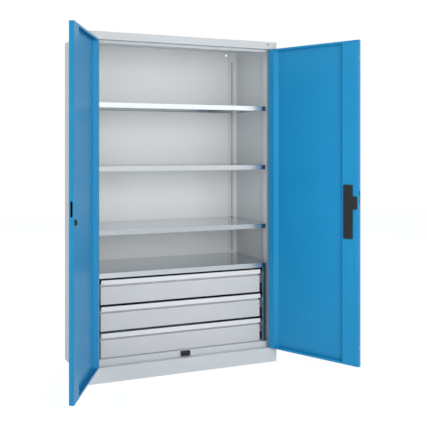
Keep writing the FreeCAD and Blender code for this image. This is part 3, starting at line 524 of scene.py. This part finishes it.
hinge_x = 0.563
hinge_y = -0.246
right_opening = math.radians(117.2)
left_opening = math.radians(-120.5)


def opened(side):
    # Pieces on a door are drawn in its closed place and swung to the photo's pose
    pivot = Vector((side * hinge_x, hinge_y, 0.0))
    angle = right_opening if side > 0 else left_opening
    return Matrix.Translation(pivot) @ Matrix.Rotation(angle, 4, "Z") @ Matrix.Translation(-pivot)


door_inside = -0.225
cover_outline = rounded_outline(
    [
        (0.0355, 0.796), (0.0875, 0.796), (0.0875, 1.098), (0.0355, 1.098),
        (0.0355, 1.034), (0.0095, 1.034), (0.0095, 0.962), (0.0355, 0.962),
    ],
    radius=0.0042,
)
cover_walls = [(0.0028, 0.0075), (0.0015, 0.0075), (0.0015, 0.0), (0.0, 0.0)]
cover_levels = cover_walls + soft_edge(depth=0.009, radius=0.0018)
cover_shell = piece(
    "lock_cover_shell", [stacked(cover_outline, cover_levels, door_inside, to_back)],
    black_nylon, "right_door", opened(1),
)
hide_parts("lock_cover")


# The buffer on the left door is a moulded black rubber knob with a rounded rim, pressed
# into the sheet with a stud. The closed right door rests on it.
def turned(profile, place, axis, steps):
    mesh = bmesh.new()
    rings = []
    for radius, height in profile:
        if radius < 1e-7:
            rings.append([mesh.verts.new((0.0, 0.0, height))])
            continue
        ring = []
        for step in range(steps):
            angle = 2.0 * math.pi * step / steps
            ring.append(mesh.verts.new((radius * math.cos(angle), radius * math.sin(angle), height)))
        rings.append(ring)
    for below, above in zip(rings[:-1], rings[1:]):
        for step in range(steps):
            following = (step + 1) % steps
            if len(below) == 1:
                mesh.faces.new((below[0], above[step], above[following]))
            elif len(above) == 1:
                mesh.faces.new((below[step], above[0], below[following]))
            else:
                mesh.faces.new((below[step], below[following], above[following], above[step]))
    turn = Vector((0.0, 0.0, 1.0)).rotation_difference(Vector(axis)).to_matrix().to_4x4()
    mesh.transform(Matrix.Translation(Vector(place)) @ turn)
    bmesh.ops.recalc_face_normals(mesh, faces=mesh.faces)
    return mesh


buffer_place = (-0.0215, door_inside, 0.949)
buffer_profile = [
    (0.0, 0.0), (0.0138, 0.0), (0.0145, 0.0006), (0.0146, 0.0052), (0.014, 0.0076), (0.0128, 0.0091),
    (0.0112, 0.0099), (0.0095, 0.01), (0.0052, 0.01), (0.0044, 0.0096), (0.003, 0.0078), (0.0, 0.0074),
]
buffer_knob = piece(
    "buffer_knob", [turned(buffer_profile, buffer_place, (0.0, 1.0, 0.0), steps=48)],
    black_nylon, "left_door", opened(-1),
)
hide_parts("left_door_buffer")


# The stop block is a black moulding clipped on the bottom stop flange, in two halves with
# a fine gap between them: one half stops each door.
stop_flange = -0.21
block_low = 0.09
block_high = 0.117
block_levels = [(0.0, 0.0)] + soft_edge(depth=0.014, radius=0.0022)
block_halves = []
for low, high in ((-0.029, -0.0005), (0.0005, 0.029)):
    half_outline = rounded_outline(
        [(low, block_low), (high, block_low), (high, block_high), (low, block_high)], radius=0.002
    )
    block_halves.append(stacked(half_outline, block_levels, stop_flange, to_front))
bridge = rounded_outline(
    [(-0.004, 0.093), (0.004, 0.093), (0.004, 0.114), (-0.004, 0.114)], radius=0.001
)
block_halves.append(stacked(bridge, [(0.0, 0.0), (0.0, 0.01)], stop_flange, to_front))
stop_block = piece("stop_block", block_halves, black_nylon, "carcase")
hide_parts("door_stop_block")


# The oval plug closes a hole in the fascia. It is a soft grey moulding with a domed face
# and a shallow dimple in the middle.
front_face = -0.25
grey_plug = moulded_plastic("grey_plug_plastic", "#7b7e81", "#85888b", roughness=0.45)
plug_outline = rounded_outline(
    [(0.532, 1.9295), (0.546, 1.9295), (0.546, 1.9385), (0.532, 1.9385)], radius=0.0044
)
plug_levels = [
    (0.0, 0.0), (0.0, 0.0004), (0.0003, 0.0008), (0.0009, 0.001), (0.0018, 0.001), (0.0026, 0.0005),
]
plug_cap = piece(
    "plug_cap", [stacked(plug_outline, plug_levels, front_face, to_front)],
    grey_plug, "carcase",
)
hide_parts("fascia_plug")


# The rose is a nylon plate on the door's outside that carries the handle's neck and hides
# the screws of the lock case. It stays still while the handle turns.
rose_outline = rounded_outline(
    [(0.0365, 0.956), (0.0865, 0.956), (0.0865, 1.04), (0.0365, 1.04)], radius=0.006
)
rose_levels = [(0.0, 0.0)] + soft_edge(depth=0.006, radius=0.002)
rose_plate = piece(
    "rose_plate", [stacked(rose_outline, rose_levels, front_face, to_front)],
    black_nylon, "right_door", opened(1),
)
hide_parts("handle_rose")


# The handle is a zinc die casting with a thin black coat: a round waist for the key plug
# between two wings for the fingers. Its edges are rounded and its face slightly crowned.
def coated_casting(name, colour, lighter):
    material = empty_material(name)
    tree = material.node_tree
    place = add_node(tree, "ShaderNodeTexCoord")
    # Cast skin of half a millimetre under the coat, drawn 3 mm wide so that it shows
    skin = add_node(
        tree, "ShaderNodeTexNoise", {"Scale": 1.0 / 0.003, "Detail": 2.0, "Roughness": 0.5},
        {"Vector": place.outputs["Object"]},
    )
    shade = add_node(tree, "ShaderNodeValToRGB", None, {"Fac": skin.outputs["Fac"]})
    shade.color_ramp.elements[0].color = linear(colour)
    shade.color_ramp.elements[1].color = linear(lighter)
    rough = add_node(
        tree, "ShaderNodeMapRange", {"To Min": 0.3, "To Max": 0.4}, {"Value": skin.outputs["Fac"]}
    )
    relief = add_node(
        tree, "ShaderNodeBump", {"Strength": 0.12, "Distance": 0.0002}, {"Height": skin.outputs["Fac"]}
    )
    coat = add_node(
        tree, "ShaderNodeBsdfPrincipled", {"IOR": 1.5},
        {
            "Base Color": shade.outputs["Color"],
            "Roughness": rough.outputs["Result"],
            "Normal": relief.outputs["Normal"],
        },
    )
    add_node(tree, "ShaderNodeOutputMaterial", None, {"Surface": coat.outputs[0]})
    return material


lock_x = 0.0615
lock_z = 0.998


def handle_outline():
    outline = []
    wing = 0.013
    reach = 0.035
    waist = 0.017
    blend = 14
    steps = 120
    for step in range(steps):
        angle = 2.0 * math.pi * step / steps
        across = abs(math.sin(angle))
        along = abs(math.cos(angle))
        if along * wing <= reach * across:
            straight = wing / across
        else:
            straight = reach * along + math.sqrt(wing * wing - (reach * across) ** 2)
        # Both forms flow into each other through a soft maximum
        radius = (straight ** blend + waist ** blend) ** (1.0 / blend)
        outline.append(Vector((radius * math.cos(angle), radius * math.sin(angle))))
    return outline


def handle_body():
    mesh = bmesh.new()
    underside = -0.257
    outline = handle_outline()
    levels = [
        (0.003, 0.0), (0.0014, 0.0005), (0.0004, 0.0016), (0.0, 0.0032), (0.0002, 0.009), (0.0005, 0.0135),
        (0.0011, 0.0168), (0.0021, 0.0192), (0.0035, 0.0208), (0.0051, 0.0216), (0.0058, 0.0218),
    ]
    rings = []
    for inset, depth in levels:
        rings.append([(point.x, depth, point.y) for point in inset_outline(outline, inset)])
    # A round seat in the waist takes the key plug
    for radius, depth in ((0.0084, 0.022), (0.0071, 0.0215), (0.0071, 0.0076)):
        ring = []
        for step in range(len(outline)):
            angle = 2.0 * math.pi * step / len(outline)
            ring.append((radius * math.cos(angle), depth, radius * math.sin(angle)))
        rings.append(ring)
    corners = []
    for ring in rings:
        corners.append([mesh.verts.new((lock_x + x, underside - y, lock_z + z)) for x, y, z in ring])
    for below, above in zip(corners[:-1], corners[1:]):
        for index in range(len(below)):
            following = (index + 1) % len(below)
            mesh.faces.new((below[index], below[following], above[following], above[index]))
    mesh.faces.new(corners[0])
    mesh.faces.new(corners[-1])
    bmesh.ops.recalc_face_normals(mesh, faces=mesh.faces)
    return mesh


black_casting = coated_casting("black_coated_casting", "#141618", "#1c1e20")
neck_profile = [(0.0, 0.0), (0.0096, 0.0), (0.01, 0.0004), (0.01, 0.0093), (0.0, 0.0093)]
neck = turned(neck_profile, (lock_x, -0.248, lock_z), (0.0, -1.0, 0.0), steps=40)
drive_outline = rounded_outline(
    [(0.0575, 0.994), (0.0655, 0.994), (0.0655, 1.002), (0.0575, 1.002)], radius=0.0006
)
drive_levels = [(0.0, 0.0), (0.0, 0.0235), (0.0005, 0.024)]
drive = stacked(drive_outline, drive_levels, front_face, to_back)
turn_handle = piece(
    "turn_handle", [handle_body(), neck, drive], black_casting, "handle", opened(1)
)
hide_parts("turning_handle")


# The key plug is turned brass with bright chrome on it, so it mirrors the room. A raised
# rim runs round its face, and the keyway is a narrow slot.
chrome = empty_material("chromed_brass")
plug_tree = chrome.node_tree
plug_place = add_node(plug_tree, "ShaderNodeTexCoord")
plug_marks = add_node(
    plug_tree, "ShaderNodeTexNoise", {"Scale": 1.0 / 0.0015, "Detail": 2.0},
    {"Vector": plug_place.outputs["Object"]},
)
plug_rough = add_node(
    plug_tree, "ShaderNodeMapRange", {"To Min": 0.08, "To Max": 0.2}, {"Value": plug_marks.outputs["Fac"]}
)
plug_metal = add_node(
    plug_tree, "ShaderNodeBsdfPrincipled", {"Base Color": linear("#d7d8da"), "Metallic": 1.0},
    {"Roughness": plug_rough.outputs["Result"]},
)
add_node(plug_tree, "ShaderNodeOutputMaterial", None, {"Surface": plug_metal.outputs[0]})
dress(["lock_cylinder"], chrome)


# Rivets in the right door's free edge: domed aluminium heads, 7 mm across, pulled from
# outside. They are set in the door's closed place and swung open with it.
pale_aluminium = galvanised_sheet("drawn_aluminium", "#dfe1e3", "#d6d8da", roughness=0.28)
rivet_dome = [
    (0.0, 0.0), (0.0034, 0.0), (0.0035, 0.00012), (0.0031, 0.00045), (0.0022, 0.00068), (0.0012, 0.00078),
    (0.0009, 0.0006), (0.0, 0.00055),
]
rivet_heights = (0.1943, 1.0945, 1.8024)
rivet_heads = [
    turned(rivet_dome, (0.0015, -0.2375, height), (-1.0, 0.0, 0.0), steps=24)
    for height in rivet_heights
]
rivets = piece("rivet_heads", rivet_heads, pale_aluminium, "right_door", opened(1))
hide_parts("edge_rivets")


# Painted shade: a thin dull dark grey metal sheet lies on the back panel behind each slotted rear upright
# and darkens the slots, as if the channels behind them were deep and shaded.
slot_shade_steel = empty_material("painted_slot_shade")
slot_shade_tree = slot_shade_steel.node_tree
slot_shade_place = add_node(slot_shade_tree, "ShaderNodeTexCoord")
slot_shade_stretch = add_node(
    slot_shade_tree, "ShaderNodeMapping", {"Scale": (300.0, 300.0, 6.0)}, {"Vector": slot_shade_place.outputs["Object"]}
)
slot_shade_lines = add_node(
    slot_shade_tree, "ShaderNodeTexNoise", {"Scale": 1.0, "Detail": 2.0}, {"Vector": slot_shade_stretch.outputs[0]}
)
slot_shade_ramp = add_node(slot_shade_tree, "ShaderNodeValToRGB", None, {"Fac": slot_shade_lines.outputs["Fac"]})
slot_shade_ramp.color_ramp.elements[0].color = linear("#6c6f72")
slot_shade_ramp.color_ramp.elements[1].color = linear("#787b7e")
slot_shade_metal = add_node(
    slot_shade_tree, "ShaderNodeBsdfPrincipled", {"Metallic": 0.6, "Roughness": 0.5},
    {"Base Color": slot_shade_ramp.outputs["Color"]},
)
add_node(slot_shade_tree, "ShaderNodeOutputMaterial", None, {"Surface": slot_shade_metal.outputs[0]})
strip_foot = 0.1
strip_head = 1.94
back_inside = 0.2409
# Each strip is painted shade behind one upright's slots, not a real part of the back panel
for name, low, high in (("left", -0.5965, -0.5425), ("right", 0.5425, 0.5965)):
    strip = rounded_outline(
        [(low, strip_foot), (high, strip_foot), (high, strip_head), (low, strip_head)], radius=0.002
    )
    patch = stacked(strip, [(0.0, 0.0), (0.0, 0.0002)], back_inside, to_front)
    piece("slot_shade_sheet_" + name, [patch], slot_shade_steel, "carcase")


# Spot welds leave shallow round marks, 6 mm across, under the coat: down the foot of each
# door's stiffener, and on the back panel where the slotted uprights are welded to it.
mark_profile = [
    (0.0, 0.0), (0.003, 0.0), (0.0028, 0.00012), (0.0022, 0.0002), (0.0014, 0.0001), (0.0, 0.00006),
]
first_mark = 0.16


def found(name):
    shape = nodes[name]
    corners = [shape.matrix_world @ vertex.co for vertex in shape.data.vertices]
    return BVHTree.FromPolygons(corners, [list(face.vertices) for face in shape.data.polygons])


def weld_marks(name, starts, direction):
    tree = found(name)
    longest = 0.2
    marks = []
    for start in starts:
        place, normal = tree.ray_cast(Vector(start), Vector(direction), longest)[:2]
        if place is not None:
            marks.append(turned(mark_profile, place, normal, steps=20))
    return marks


for side, name in ((-1, "left_door"), (1, "right_door")):
    swing = opened(side)
    heights = [first_mark + 0.15 * step for step in range(12)]
    starts = [swing @ Vector((side * 0.1075, door_inside, height)) for height in heights]
    away = swing.to_3x3() @ Vector((0.0, -1.0, 0.0))
    marks = weld_marks(name + "_stiffener", starts, away)
    piece(name + "_weld_marks", marks, blue_powder_coat, name)
heights = [first_mark + 0.14 * step for step in range(13)]
back_starts = [(side * 0.566, 0.4, height) for side in (-1, 1) for height in heights]
back_marks = weld_marks("back_panel", back_starts, (0.0, -1.0, 0.0))
piece("back_weld_marks", back_marks, grey_powder_coat, "carcase")
